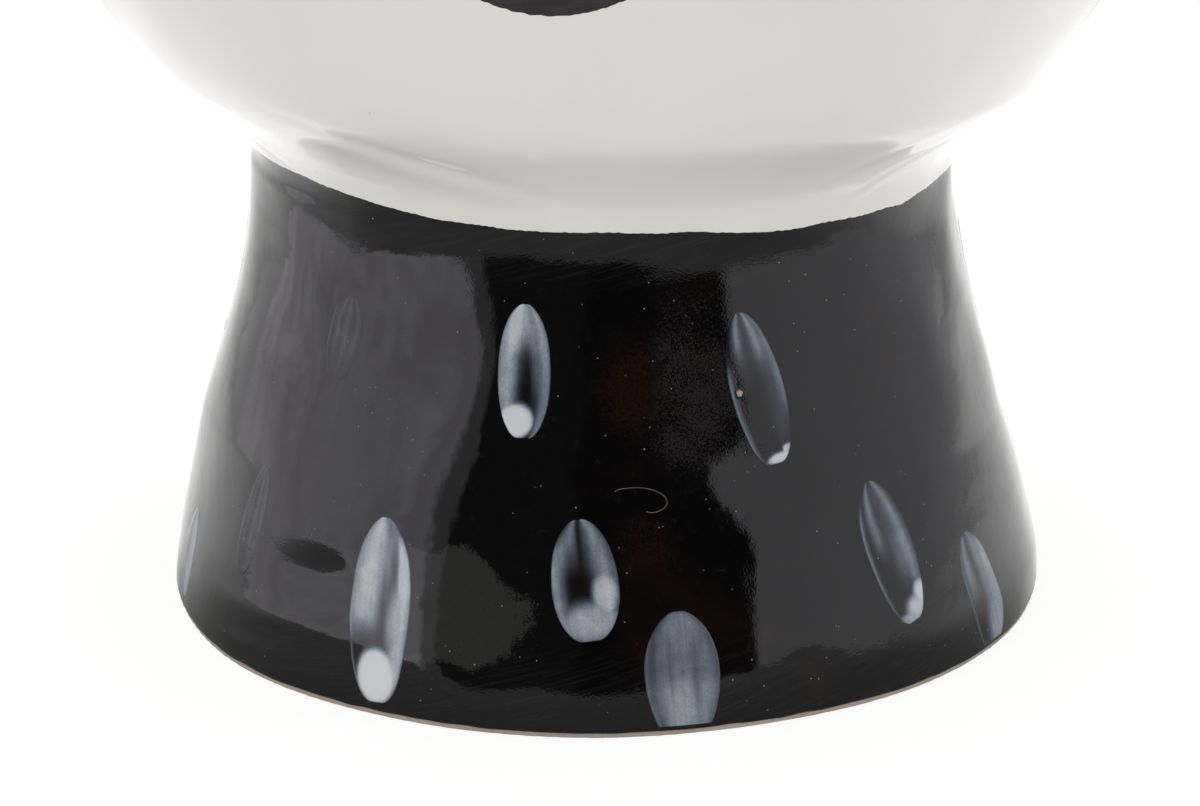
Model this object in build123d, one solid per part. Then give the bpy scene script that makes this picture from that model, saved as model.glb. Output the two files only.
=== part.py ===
from build123d import *
import math
import os

# Face vase: a head on a flared foot, luted together from thrown and hand-formed clay pieces.
# Millimetres. The origin is the centre of the flat underside, +Z is up and the face looks along -Y.

# Foot
base_radius = 84.9
throat_radius = 66.6
foot_height = 85.0
foot_wall_thickness = 6.0
slab_thickness = 7.0
bare_edge = 1.2
glaze_step = 0.6
slab_bevel = 0.5

# Head
head_radius = 105.5
bowl_height = 78.0
bowl_arc_radius = 92.0
dome_arc_radius = 94.0
head_wall_thickness = 6.0
crease_height = 19.0
crease_neck_pull = 8.0
crease_bowl_pull = 7.0

# Mouth collar and its rolled rim
collar_waist_radius = 46.0
collar_rim_radius = 60.0
collar_height = 43.0
collar_wall_thickness = 6.0
rim_coil_radius = 4.5
rim_press = 1.5

# Joints between the clay pieces
lap_depth = 7.0
lap_gap = 0.15
seat_gap = 0.05
overrun = 30.0

# Luting coils, pressed over the joints from inside
foot_coil_width = 7.0
foot_coil_height = 7.0
joint_coil_height = 12.0
joint_coil_thickness = 3.5
coil_gap = 0.3

# Painted glaze: slip on the foot and collar, black glaze on the face
slip_thickness = 0.45
paint_thickness = 0.5

# Daubs: one brush mark, and how far it stays from the edge of its wall
daub_length = 24.0
daub_width = 10.5
daub_margin = 0.8
daub_sides = 12

# Lips
mouth_level = 139.5
lip_width = 46.0
lower_lip_height = 10.8
upper_lip_height = 8.0
lip_dip = 1.6
lip_parting = 0.9

# Eyes and brows
eye_level = 186.0
eye_spacing = 78.0
eye_width = 37.0
upper_lid_rise = 10.5
lower_lid_drop = 6.0
lash_weight = 3.2
lower_lash_weight = 1.3
iris_radius = 7.6
iris_lift = 1.6
iris_lid_gap = 0.4
glint_radius = 1.7
glint_offset = 2.5
brow_level = 205.0
brow_width = 42.0
brow_rise = 6.5
brow_weight = 4.2
brow_tip_drop = 2.2

# Nose
nose_base_level = 152.0
nose_length = 44.0
nose_width = 38.0
nose_projection = 19.0
nose_root_depth = 6.0

# Ears
ear_level = 178.0
ear_height = 52.0
ear_depth = 32.0
ear_stand = 10.0
ear_setback = 9.0
ear_rim_width = 5.5
ear_hollow_depth = 5.0
ear_edge_radius = 2.6
ear_splay = 16.0

# Outline of the foot from the ground to the throat: share of its height, share of its spread
foot_outline_shares = [
    (0.0, 1.0),
    (0.165, 0.896),
    (0.306, 0.727),
    (0.47, 0.52),
    (0.635, 0.29),
    (0.788, 0.115),
    (1.0, 0.0),
]

# Outline of the collar from its waist to its rim: share of its height, share of its spread
collar_outline_shares = [(0.0, 0.0), (0.25, 0.03), (0.5, 0.19), (0.75, 0.51), (1.0, 1.0)]

# Bow of the upper lip from corner to corner: share of half its width, share of its height
upper_lip_shares = [(-1, 0), (-0.57, 0.7), (-0.29, 1), (0, 0.78), (0.29, 1), (0.57, 0.7), (1, 0)]
lower_lash_width_share = 0.9

# Nose sections, evenly spaced from its base to its root: the poles of a smooth loop round each, as shares of
# its width at the face, the flank and the ridge, and of its projection at the flank and the ridge
nose_section_shares = [
    (0.72, 0.62, 0.26, 0.3, 0.6),
    (1.1, 1.14, 0.37, 0.5, 1.58),
    (0.95, 0.9, 0.33, 0.48, 1.4),
    (0.78, 0.64, 0.27, 0.42, 1.12),
    (0.68, 0.52, 0.24, 0.35, 0.88),
    (0.63, 0.47, 0.23, 0.28, 0.66),
    (0.6, 0.45, 0.22, 0.17, 0.38),
    (0.56, 0.42, 0.21, 0.04, 0.08),
]

# Outline of an ear: shares of its depth from the middle towards the back, and of its height
ear_outline_shares = [
    (0.5, 0.16),
    (0.3, 0.44),
    (-0.06, 0.5),
    (-0.4, 0.32),
    (-0.42, 0.02),
    (-0.34, -0.28),
    (-0.14, -0.48),
    (0.1, -0.42),
    (0.3, -0.14),
]

# Front daubs on the foot: direction from the face in degrees, share of the foot's height, shares of the
# length and width of a brush mark, and its lean in degrees
front_daub_shares = [
    (-36.6, 0.73, 0.62, 0.84, -6.0),
    (-6.3, 0.721, 0.95, 0.88, 3.0),
    (26.8, 0.673, 1.12, 0.86, 13.0),
    (-47.3, 0.312, 0.85, 0.82, -5.0),
    (2.5, 0.318, 0.86, 1.1, 12.0),
    (44.7, 0.296, 1.1, 0.86, 13.0),
    (-66.0, 0.13, 0.8, 0.9, -6.0),
    (-23.6, 0.216, 1.32, 1.16, -2.0),
    (14.2, 0.145, 1.0, 1.2, 4.0),
    (60.9, 0.145, 1.0, 1.0, 14.0),
]
# Rows that carry the pattern round the back: first and last direction, count, share of the foot's height
back_row_shares = [(92.0, 280.0, 7, 0.7), (94.0, 266.0, 5, 0.31), (114.0, 246.0, 4, 0.14)]
# Rows on the collar: first direction, step, count, share of the collar's height
collar_row_shares = [(6.0, 36.0, 10, 0.34), (24.0, 36.0, 10, 0.76)]
collar_daub_share = 0.5
collar_daub_width_share = 0.8
wander_share = 0.03
length_wander_share = 0.12
lean_degrees = 10.0
wander_turn = 2.4

# Levels and radii that follow from the sizes above
neck_level = foot_height
equator_level = neck_level + bowl_height
dome_centre_radius = head_radius - dome_arc_radius
bowl_centre_radius = head_radius - bowl_arc_radius
shoulder_turn = math.acos((collar_waist_radius - dome_centre_radius) / dome_arc_radius)
shoulder_level = equator_level + dome_arc_radius * math.sin(shoulder_turn)
collar_top = shoulder_level + collar_height
slab_boss_radius = base_radius - foot_wall_thickness
neck_lap_radius = throat_radius - foot_wall_thickness / 2
equator_lap_radius = head_radius - head_wall_thickness / 2
collar_lap_radius = collar_waist_radius - collar_wall_thickness / 2
eye_turn = math.degrees(math.asin(eye_spacing / 2 / head_radius))


def foot_curve(shift):
    # The foot's outline from the ground up, moved sideways by the shift.
    points = [
        (throat_radius + shift + (base_radius - throat_radius) * spread, 0, foot_height * rise)
        for rise, spread in foot_outline_shares
    ]
    return Spline(*points, tangents=[(0, 0, 1), (0, 0, 1)])


def head_arc(centre_radius, arc_radius, start, size):
    # Part of the head's outline, an arc in the X-Z plane whose centre stands at the equator's level.
    side = Plane(origin=(0, 0, equator_level), x_dir=(1, 0, 0), z_dir=(0, -1, 0))
    return side * CenterArc((centre_radius, 0), arc_radius, start, size)


def dome_curve(shift):
    # From the equator up to the top of its arc, which the shoulder's cut trims.
    return head_arc(dome_centre_radius, dome_arc_radius + shift, 0, 90)


def bowl_curve(shift):
    # From the neck up: a soft crease, and then the head's arc to the equator.
    radius = bowl_arc_radius + shift
    turn = math.asin((bowl_height - crease_height) / bowl_arc_radius)
    low = (bowl_centre_radius + radius * math.cos(turn), equator_level - radius * math.sin(turn))
    crease = Bezier(
        (throat_radius + shift, 0, neck_level),
        (throat_radius + shift, 0, neck_level + crease_neck_pull),
        (low[0] - crease_bowl_pull * math.sin(turn), 0, low[1] - crease_bowl_pull * math.cos(turn)),
        (low[0], 0, low[1]),
    )
    arc = head_arc(bowl_centre_radius, radius, -math.degrees(turn), math.degrees(turn))
    return Wire([crease, arc])


def collar_curve(shift):
    # The collar's outline from its waist to its rim, moved sideways by the shift.
    flare = collar_rim_radius - collar_waist_radius
    points = [
        (collar_waist_radius + shift + flare * spread, 0, shoulder_level + collar_height * rise)
        for rise, spread in collar_outline_shares
    ]
    return Spline(*points)


def radius_at(curve, level):
    low, high = 0, 1
    for _ in range(40):
        middle = (low + high) / 2
        if curve.position_at(middle).Z < level:
            low = middle
        else:
            high = middle
    return curve.position_at(low).X


def turned(*edges):
    # A solid of revolution from edges that close into one outline.
    outline_edges = [edge for piece in edges for edge in piece.edges()]
    return revolve(make_face(Wire(outline_edges)), Axis.Z)


def between(outer, inner):
    # The wall between two curves that both run upwards.
    return turned(outer, Line(outer @ 1, inner @ 1), inner, Line(inner @ 0, outer @ 0))


def ring(inner_radius, outer_radius, low, high):
    return turned(
        Polyline(
            (inner_radius, 0, low),
            (outer_radius, 0, low),
            (outer_radius, 0, high),
            (inner_radius, 0, high),
            (inner_radius, 0, low),
        )
    )


def drum(radius, low, high):
    # A plain cylinder about the axis, from one level to another.
    return Pos(0, 0, (low + high) / 2) * Cylinder(radius, high - low)


def base_slab():
    edge_radius = base_radius - glaze_step
    flange = chamfer(drum(edge_radius, 0, bare_edge).edges().group_by(Axis.Z)[0], slab_bevel)
    return flange + drum(slab_boss_radius, bare_edge, slab_thickness)


def foot_wall():
    wall = between(foot_curve(0), foot_curve(-foot_wall_thickness))
    wall -= drum(base_radius + overrun, -overrun, bare_edge)
    wall -= drum(slab_boss_radius + seat_gap, 0, slab_thickness + lap_gap)
    return wall - drum(neck_lap_radius, neck_level - lap_depth, neck_level + overrun)


def foot_coil():
    # A coil pressed into the corner between the slab and the wall.
    top = slab_thickness + foot_coil_height
    back = radius_at(foot_curve(-foot_wall_thickness), top) - coil_gap
    front = back - foot_coil_width
    return turned(
        Polyline(
            (front, 0, slab_thickness),
            (back, 0, slab_thickness),
            (back, 0, top),
            (back - foot_coil_width / 4, 0, top),
            (front, 0, slab_thickness + foot_coil_height / 4),
            (front, 0, slab_thickness),
        )
    )


def joint_coil(back_radius, level):
    # A coil pressed flat against the inside of a joint: straight at the back, smoothed off in front.
    half = joint_coil_height / 2
    front_radius = back_radius - joint_coil_thickness
    return turned(
        Polyline(
            (back_radius, 0, level - half),
            (back_radius, 0, level + half),
            (front_radius, 0, level + half / 2),
            (front_radius, 0, level - half / 2),
            (back_radius, 0, level - half),
        )
    )


def neck_coil():
    return joint_coil(throat_radius - head_wall_thickness - coil_gap, neck_level)


def equator_coil():
    low = radius_at(bowl_curve(-head_wall_thickness), equator_level - joint_coil_height / 2)
    high = radius_at(dome_curve(-head_wall_thickness), equator_level + joint_coil_height / 2)
    return joint_coil(min(low, high) - coil_gap, equator_level)


def collar_coil():
    return joint_coil(collar_waist_radius - collar_wall_thickness - coil_gap, shoulder_level)


def head_bowl():
    bowl = between(bowl_curve(0), bowl_curve(-head_wall_thickness))
    spigot_outer = neck_lap_radius - lap_gap
    bowl += ring(
        throat_radius - head_wall_thickness, spigot_outer, neck_level - lap_depth + lap_gap, neck_level
    )
    tongue_inner = head_radius - head_wall_thickness
    return bowl + ring(
        tongue_inner, equator_lap_radius - lap_gap, equator_level, equator_level + lap_depth - lap_gap
    )


def head_dome():
    dome = between(dome_curve(0), dome_curve(-head_wall_thickness))
    dome -= drum(head_radius + overrun, shoulder_level, equator_level + dome_arc_radius + overrun)
    dome -= drum(collar_lap_radius, equator_level, shoulder_level + overrun)
    return dome - drum(equator_lap_radius, equator_level - overrun, equator_level + lap_depth)


def mouth_collar():
    collar = between(collar_curve(0), collar_curve(-collar_wall_thickness))
    spigot_outer = collar_lap_radius - lap_gap
    spigot_inner = collar_waist_radius - collar_wall_thickness
    return collar + ring(spigot_inner, spigot_outer, shoulder_level - lap_depth, shoulder_level)


def rim_coil():
    centre_radius = collar_rim_radius - collar_wall_thickness / 2
    coil = Pos(0, 0, collar_top + rim_coil_radius - rim_press) * Torus(centre_radius, rim_coil_radius)
    return coil - drum(collar_rim_radius + overrun, collar_top - overrun, collar_top)


def head_core():
    # The head's outside as a solid, moved out by the seat gap, which shapes the back of what is applied.
    bowl, dome = bowl_curve(seat_gap), dome_curve(seat_gap)
    return turned(Line((0, 0, neck_level), bowl @ 0), bowl, dome, Line(dome @ 1, (0, 0, neck_level)))


def coat(curve_at, thickness):
    # A thin layer round a curved wall, standing the seat gap clear of it.
    return between(curve_at(seat_gap + thickness), curve_at(seat_gap))


def painted(shape, turn, level, layer):
    # Cuts one mark out of a layer: the shape stands upright at that direction and level and goes straight in.
    a = math.radians(turn)
    upright = Plane(
        origin=(0, 0, level), x_dir=(math.cos(a), math.sin(a), 0), z_dir=(math.sin(a), -math.cos(a), 0)
    )
    return extrude(upright * shape, amount=head_radius + overrun) & layer


def daub(length_share, width_share, lean):
    # A brush mark's outline: a long oval of short straight sides.
    corners = []
    for i in range(daub_sides):
        a = math.tau * i / daub_sides
        x = daub_width * width_share / 2 * math.cos(a)
        corners.append((x, daub_length * length_share / 2 * math.sin(a)))
    return Rot(0, 0, lean) * make_face(Polyline(*corners, close=True))


def wander(step):
    # A steady, uneven sequence between -1 and 1.
    return math.sin(wander_turn * step) * math.cos(wander_turn * step * step)


def kept_level(level, length_share, low, high):
    # Keeps a whole mark between the two edges of its wall.
    reach = daub_length * length_share / 2 + daub_margin
    return min(max(level, low + reach), high - reach)


def foot_daubs():
    rows = list(front_daub_shares)
    for first, last, count, rise in back_row_shares:
        for i in range(count):
            turn = first + (last - first) * i / (count - 1) + lean_degrees / 2 * wander(i + rise)
            length = 1 + length_wander_share * wander(i + 1 + rise)
            lean = lean_degrees * wander(i)
            rows.append((turn, rise + wander_share * wander(i + 2 + rise), length, 1, lean))
    layer = coat(foot_curve, slip_thickness)
    marks = []
    for turn, rise, length_share, width_share, lean in rows:
        level = kept_level(foot_height * rise, length_share, bare_edge, foot_height)
        marks += painted(daub(length_share, width_share, lean), turn, level, layer).solids()
    return Compound(marks)


def collar_daubs():
    layer = coat(collar_curve, slip_thickness)
    marks = []
    for first, step, count, rise in collar_row_shares:
        for i in range(count):
            length_share = collar_daub_share * (1 + length_wander_share * wander(i + rise))
            level = kept_level(
                shoulder_level + collar_height * rise, length_share, shoulder_level, collar_top
            )
            shape = daub(length_share, collar_daub_width_share, lean_degrees * wander(i + 1))
            marks += painted(shape, first + step * i, level, layer).solids()
    return Compound(marks)


def crescent(half_width, outer_rise, inner_rise, tip_drop=0):
    # Two arcs that meet at pointed corners. The right-hand corner may lie lower than the left.
    left, right = (-half_width, 0), (half_width, -tip_drop)
    outer = ThreePointArc(left, (0, outer_rise), right)
    inner = ThreePointArc(right, (0, inner_rise), left)
    return make_face(Wire([outer, inner]))


def lower_lip():
    half = lip_width / 2
    bottom = ThreePointArc((-half, 0), (0, -lower_lip_height), (half, 0))
    top = Spline((half, 0), (0, -lip_dip - lip_parting / 2), (-half, 0))
    shape = make_face(Wire([bottom, top]))
    return painted(shape, 0, mouth_level, coat(bowl_curve, paint_thickness))


def upper_lip():
    half = lip_width / 2
    bow = Spline(*((half * across, upper_lip_height * rise) for across, rise in upper_lip_shares))
    bottom = Spline((half, 0), (0, -lip_dip + lip_parting / 2), (-half, 0))
    shape = make_face(Wire([bow, bottom]))
    return painted(shape, 0, mouth_level, coat(bowl_curve, paint_thickness))


def eye_outline(rise, drop):
    half = eye_width / 2
    upper = ThreePointArc((-half, 0), (0, rise), (half, 0))
    lower = ThreePointArc((half, 0), (0, -drop), (-half, 0))
    return make_face(Wire([upper, lower]))


def face_marks(side):
    # The painted marks of one eye. They are drawn for the +X side and mirrored for the other.
    layer = coat(dome_curve, paint_thickness)
    half = eye_width / 2
    open_rise = upper_lid_rise - lash_weight
    open_drop = lower_lid_drop - lower_lash_weight
    iris = Pos(0, iris_lift) * Circle(iris_radius)
    iris &= eye_outline(open_rise - iris_lid_gap, open_drop - iris_lid_gap)
    iris -= Pos(glint_offset, iris_lift + glint_offset) * Circle(glint_radius)
    lower_lash = crescent(half * lower_lash_width_share, -open_drop, -lower_lid_drop)
    shapes = {
        "upper_lash": (crescent(half, upper_lid_rise, open_rise), eye_level),
        "lower_lash": (lower_lash, eye_level - lower_lash_weight),
        "iris": (iris, eye_level),
        "brow": (crescent(brow_width / 2, brow_rise, brow_rise - brow_weight, brow_tip_drop), brow_level),
    }
    marks = {}
    for name, (shape, level) in shapes.items():
        mark = painted(shape, eye_turn, level, layer)
        marks[name] = mark if side > 0 else mirror(mark, about=Plane.YZ)
    return marks


def nose():
    # Upright sections follow the head's outline, so each stands on the face where it is.
    bowl, dome = bowl_curve(0), dome_curve(0)
    sections = []
    for i, (face_share, flank_share, ridge_share, flank_reach, ridge_reach) in enumerate(nose_section_shares):
        level = nose_base_level + nose_length * i / (len(nose_section_shares) - 1)
        wall = radius_at(dome if level > equator_level else bowl, level)
        face, flank, ridge = (nose_width / 2 * share for share in (face_share, flank_share, ridge_share))
        back = nose_root_depth - wall
        flank_out = -wall - nose_projection * flank_reach
        ridge_out = -wall - nose_projection * ridge_reach
        half_loop = [(0, back), (face, back), (flank, flank_out), (ridge, ridge_out)]
        other_half = [(-x, y) for x, y in reversed(half_loop)]
        sections.append(make_face(Pos(0, 0, level) * Bezier(*half_loop, *other_half)))
    return loft(sections) - head_core()


def ear_shape(margin):
    # The ear's outline, drawn in by a margin all round.
    depth, height = ear_depth - 2 * margin, ear_height - 2 * margin
    points = [(depth * back, height * rise) for back, rise in ear_outline_shares]
    return make_face(Wire([Spline(*points, periodic=True)]))


def ear(side):
    # Made for the +X side: a hollowed plate with a rounded edge, splayed out at its back and cut to the head.
    side_plane = Plane(origin=(0, 0, 0), x_dir=(0, 1, 0), z_dir=(1, 0, 0))
    blank = Pos(-ear_depth / 2, 0, 0) * extrude(side_plane * ear_shape(0), amount=ear_stand + ear_depth / 2)
    blank = fillet(blank.edges().group_by(Axis.X)[-1], ear_edge_radius)
    hollow_plane = Plane(origin=(ear_stand - ear_hollow_depth, 0, 0), x_dir=(0, 1, 0), z_dir=(1, 0, 0))
    blank -= extrude(hollow_plane * ear_shape(ear_rim_width), amount=ear_hollow_depth + overrun)
    wall = radius_at(dome_curve(0), ear_level)
    placed = Pos(wall, ear_setback, ear_level) * Rot(0, 0, -ear_splay) * blank - head_core()
    return placed if side > 0 else mirror(placed, about=Plane.YZ)


pieces = {
    "base_slab": base_slab(),
    "foot_wall": foot_wall(),
    "foot_coil": foot_coil(),
    "neck_coil": neck_coil(),
    "head_bowl": head_bowl(),
    "equator_coil": equator_coil(),
    "head_dome": head_dome(),
    "collar_coil": collar_coil(),
    "mouth_collar": mouth_collar(),
    "rim_coil": rim_coil(),
    "nose": nose(),
    "foot_daubs": foot_daubs(),
    "collar_daubs": collar_daubs(),
    "lower_lip": lower_lip(),
    "upper_lip": upper_lip(),
}
for side, name in ((1, "left"), (-1, "right")):
    pieces["ear_" + name] = ear(side)
    for mark, shape in face_marks(side).items():
        pieces[mark + "_" + name] = shape

for name, shape in pieces.items():
    export_step(shape, "parts/" + name + ".step")
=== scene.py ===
import math

import bpy
import numpy as np
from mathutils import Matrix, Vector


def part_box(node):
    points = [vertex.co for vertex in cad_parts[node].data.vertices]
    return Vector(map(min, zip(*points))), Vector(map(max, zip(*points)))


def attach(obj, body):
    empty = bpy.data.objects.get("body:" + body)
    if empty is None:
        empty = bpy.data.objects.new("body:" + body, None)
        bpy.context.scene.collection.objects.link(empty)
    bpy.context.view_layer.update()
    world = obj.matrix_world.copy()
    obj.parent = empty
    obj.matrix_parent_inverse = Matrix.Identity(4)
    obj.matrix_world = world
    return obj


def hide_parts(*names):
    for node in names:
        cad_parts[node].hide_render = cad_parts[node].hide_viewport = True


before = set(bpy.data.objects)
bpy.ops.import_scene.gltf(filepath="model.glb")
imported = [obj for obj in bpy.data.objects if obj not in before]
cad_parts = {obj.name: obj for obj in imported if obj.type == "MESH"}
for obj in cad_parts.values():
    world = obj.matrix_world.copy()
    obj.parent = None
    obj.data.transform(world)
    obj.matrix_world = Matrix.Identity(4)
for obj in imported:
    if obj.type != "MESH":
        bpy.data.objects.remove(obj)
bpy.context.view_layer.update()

mm = 0.001
degree = math.pi / 180

# Directions round the vase are angles from the face, towards the vase's own left side at +X.
# The photograph looks at the vase from a little to that side.
cameraTurn = 4.4 * degree
cameraPitch = 18.61 * degree
cameraDistance = 557.9 * mm
cameraHeight = 220.2 * mm

# Sizes of the frame that the glazed surfaces keep
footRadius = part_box("foot_wall")[1].x
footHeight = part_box("foot_wall")[1].z
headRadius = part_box("head_bowl")[1].x
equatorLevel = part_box("head_dome")[0].z
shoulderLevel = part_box("head_dome")[1].z
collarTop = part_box("mouth_collar")[1].z
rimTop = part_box("rim_coil")[1].z
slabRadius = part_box("base_slab")[1].x
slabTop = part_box("base_slab")[1].z
throatRadius = 66.6 * mm
waistRadius = 46.0 * mm
collarRadius = 60.0 * mm
wallThickness = 6.0 * mm
bowlArc = 92.0 * mm
domeArc = 94.0 * mm
creaseHeight = 19.0 * mm
creaseEnd = 91.6 * mm

# Pulls of the curves in the crease under the head and the fillet under the collar, and that fillet's place
neckPull = 8.0 * mm
bowlPull = 7.0 * mm
filletPull = 4.5 * mm
filletDrop = 3.4 * mm
filletRise = 7.5 * mm

# Slope at the collar's top as a share of its mean slope
collarFlare = 2.2
outlineStep = 0.2 * mm


# The wall

def clampedSpline(places, values, slopes):
    x, y = np.array(places, float), np.array(values, float)
    gap = np.diff(x)
    rise = np.diff(y) / gap
    size = len(x)
    system = np.zeros((size, size))
    right = np.zeros(size)
    system[0, :2] = 2 * gap[0], gap[0]
    right[0] = 6 * (rise[0] - slopes[0])
    system[-1, -2:] = gap[-1], 2 * gap[-1]
    right[-1] = 6 * (slopes[1] - rise[-1])
    for i in range(1, size - 1):
        system[i, i - 1:i + 2] = gap[i - 1], 2 * (gap[i - 1] + gap[i]), gap[i]
        right[i] = 6 * (rise[i] - rise[i - 1])
    bend = np.linalg.solve(system, right)

    def at(place):
        p = np.clip(place, x[0], x[-1])
        i = np.clip(np.searchsorted(x, p) - 1, 0, size - 2)
        a, b = x[i + 1] - p, p - x[i]
        cubic = (bend[i] * a ** 3 + bend[i + 1] * b ** 3) / (6 * gap[i])
        first, last = (y[k] / gap[i] - bend[k] * gap[i] / 6 for k in (i, i + 1))
        return cubic + first * a + last * b

    return at


def bezier(points, count):
    t = np.linspace(0, 1, count)[:, None]
    a, b, c, d = (np.array(p, float) for p in points)
    return a * (1 - t) ** 3 + 3 * b * t * (1 - t) ** 2 + 3 * c * t * t * (1 - t) + d * t ** 3


footShares = [(0, 1), (0.165, 0.896), (0.306, 0.727), (0.47, 0.52), (0.635, 0.29), (0.788, 0.115), (1, 0)]
collarShares = [(0, 0), (0.25, 0.03), (0.5, 0.19), (0.75, 0.51), (1, 1)]


def arcRows(radius, low, high, step):
    # The head's outline on an arc whose widest point is the equator.
    levels = np.arange(low, high, step)
    reach = np.sqrt(radius ** 2 - (levels - equatorLevel) ** 2)
    return np.column_stack([headRadius - radius + reach, levels])


def wallTable():
    # Radius and level of the whole outside: foot, crease, head, shoulder and collar.
    rise, spread = np.array(footShares, float).T
    foot = clampedSpline(rise * footHeight, throatRadius + (footRadius - throatRadius) * spread, (0, 0))
    levels = np.arange(0, footHeight, outlineStep)
    rows = [np.column_stack([foot(levels), levels])]
    turn = math.asin((equatorLevel - footHeight - creaseHeight) / bowlArc)
    low = (headRadius - bowlArc + bowlArc * math.cos(turn), equatorLevel - bowlArc * math.sin(turn))
    inner = (low[0] - bowlPull * math.sin(turn), low[1] - bowlPull * math.cos(turn))
    crease = [(throatRadius, footHeight), (throatRadius, footHeight + neckPull), inner, low]
    rows.append(bezier(crease, 100)[:-1])
    rows.append(arcRows(bowlArc, low[1], equatorLevel, outlineStep))
    rows.append(arcRows(domeArc, equatorLevel, shoulderLevel - filletDrop, outlineStep / 2))
    start = rows[-1][-1]
    steep = math.atan2(start[1] - equatorLevel, start[0] - (headRadius - domeArc))
    along = (start[0] - filletPull * math.sin(steep), start[1] + filletPull * math.cos(steep))
    rise, spread = np.array(collarShares, float).T
    height, flare = collarTop - shoulderLevel, collarRadius - waistRadius
    slopes = (0, collarFlare * flare / height)
    collar = clampedSpline(shoulderLevel + rise * height, waistRadius + spread * flare, slopes)
    filletEnd = shoulderLevel + filletRise
    end = (float(collar(filletEnd)), filletEnd)
    rows.append(bezier([start, along, (end[0], filletEnd - filletPull), end], 80)[1:-1])
    levels = np.arange(filletEnd, collarTop + 0.3 * mm, outlineStep)
    rows.append(np.column_stack([collar(levels), levels]))
    return np.concatenate(rows)


outline = wallTable()
outlineLength = np.concatenate([[0], np.cumsum(np.hypot(*np.diff(outline, axis=0).T))])


def wallRadius(level):
    return np.interp(level, outline[:, 1], outline[:, 0])


def wallSlope(level):
    step = 0.3 * mm
    return (wallRadius(level + step) - wallRadius(level - step)) / (2 * step)


def levelsBetween(low, high, spacing):
    # Levels at even steps along the outline.
    first, last = np.interp([low, high], outline[:, 1], outlineLength)
    count = max(2, int(round((last - first) / spacing)) + 1)
    return np.interp(np.linspace(first, last, count), outlineLength, outline[:, 1])


def makeRipple(seed, count, turns, lengths, height):
    # Waves that close round the vase, of so many turns and of lengths along its height.
    rng = np.random.default_rng(seed)
    around = rng.integers(turns[0], turns[1] + 1, count)
    along = math.tau / rng.uniform(lengths[0], lengths[1], count) * rng.choice((-1, 1), count)
    phase = rng.uniform(0, math.tau, count)

    def ripple(turn, level):
        total = 0
        for k, wave, start in zip(around, along, phase):
            total = total + np.sin(k * turn + wave * level + start)
        return total * height / math.sqrt(count)

    return ripple


broadRipple = makeRipple(3, 6, (2, 4), (90 * mm, 220 * mm), 0.34 * mm)
handRipple = makeRipple(11, 26, (6, 22), (20 * mm, 70 * mm), 0.1 * mm)

# How far the wall stands out to the right of the photograph at each level: hands pushed it there
leanLevels = [0, 8, 12, 16, 23, 29, 36, 50, 60, 70, 76, 84, 88, 92, 97, 102, 106, 110, 116, 140, 300]
leanShifts = [
    1.3, 1.6, 1.4, 1.2, 1.1, 0.85, 0.42, 0.48, 0.72, 0.56, 0.38, 0.38, 0.8, 1.3, 1.7, 1.6, 0.8, 0.36,
    0.15, 0, 0,
]

# The ripples are calmer near the ground
calmHeight = 12 * mm
calmShare = 0.35

# Finger marks in the wall: direction in degrees, level, half width in degrees, half height, rise per degree,
# depth
fingerMarks = [
    (-20, 99.0, 14, 1.7, -0.40, -0.6),
    (-19, 95.0, 14, 2.4, -0.34, 0.4),
    (-38, 102, 8, 3.4, -0.2, -0.3),
    (52, 92.6, 7, 1.1, 0.55, -0.5),
    (50, 89.9, 7, 1.0, 0.55, 0.34),
    (46, 97.8, 8, 1.5, 0.5, 0.22),
    (-60, 92.6, 9, 0.9, -0.32, -0.3),
    (-16, 0, 48, 24, 0, 1.5),
    (-46, 0, 15, 17, 0, 0.9),
    (0, 56, 1000, 34, 0, -0.28),
    (-8, 60, 9, 12, 0, 0.75),
    (-9, 29, 9, 9, 0, -0.35),
    (-34, 28.5, 6.5, 3.8, 0.1, 0.38),
    (-34, 21, 6.5, 3.6, 0.1, -0.44),
    (-9, 18, 7, 9, 0, -0.3),
    (-46, 11.5, 10, 2.6, 0.12, 0.26),
    (-46, 7, 10, 2.4, 0.12, -0.2),
    (27, 52, 7, 9, 0, 0.35),
    (25, 44, 7, 4.0, 0, -0.42),
    (28, 32, 7, 6.5, 0, 0.6),
    (24, 0, 15, 17, 0, -0.8),
    (62, 56, 6, 14, 0, 0.4),
]


def reliefAt(turn, level):
    # What hand forming adds to the wall's radius.
    total = broadRipple(turn, level) + handRipple(turn, level)
    total = total * (calmShare + (1 - calmShare) * np.clip(level / calmHeight, 0, 1))
    lean = np.interp(level, np.array(leanLevels) * mm, np.array(leanShifts) * mm)
    total = total + lean * np.sin(turn - cameraTurn)
    for centre, height, halfWidth, halfHeight, climb, depth in fingerMarks:
        away = np.mod((turn / degree - centre) + 180, 360) - 180
        off = (level / mm - height - climb * away) / halfHeight
        total = total + depth * mm * np.exp(-(away / halfWidth) ** 2 - off ** 2)
    return total


def wallPoint(turn, level, lift=0.0):
    turn, level, lift = np.broadcast_arrays(np.asarray(turn, float), level, lift)
    slope = wallSlope(level)
    length = np.sqrt(1 + slope ** 2)
    radius = wallRadius(level) + reliefAt(turn, level) + lift / length
    return np.stack([radius * np.sin(turn), -radius * np.cos(turn), level - lift * slope / length], axis=-1)


def onWall(turn, across, level, lift=0.0):
    # A point drawn flat, so far across from a direction, and carried straight in to the wall.
    return wallPoint(turn + np.arcsin(np.clip(across / wallRadius(level), -1, 1)), level, lift)


# Mesh building

def linked(name, data):
    made = bpy.data.objects.new(name, data)
    bpy.context.scene.collection.objects.link(made)
    return made


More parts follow.
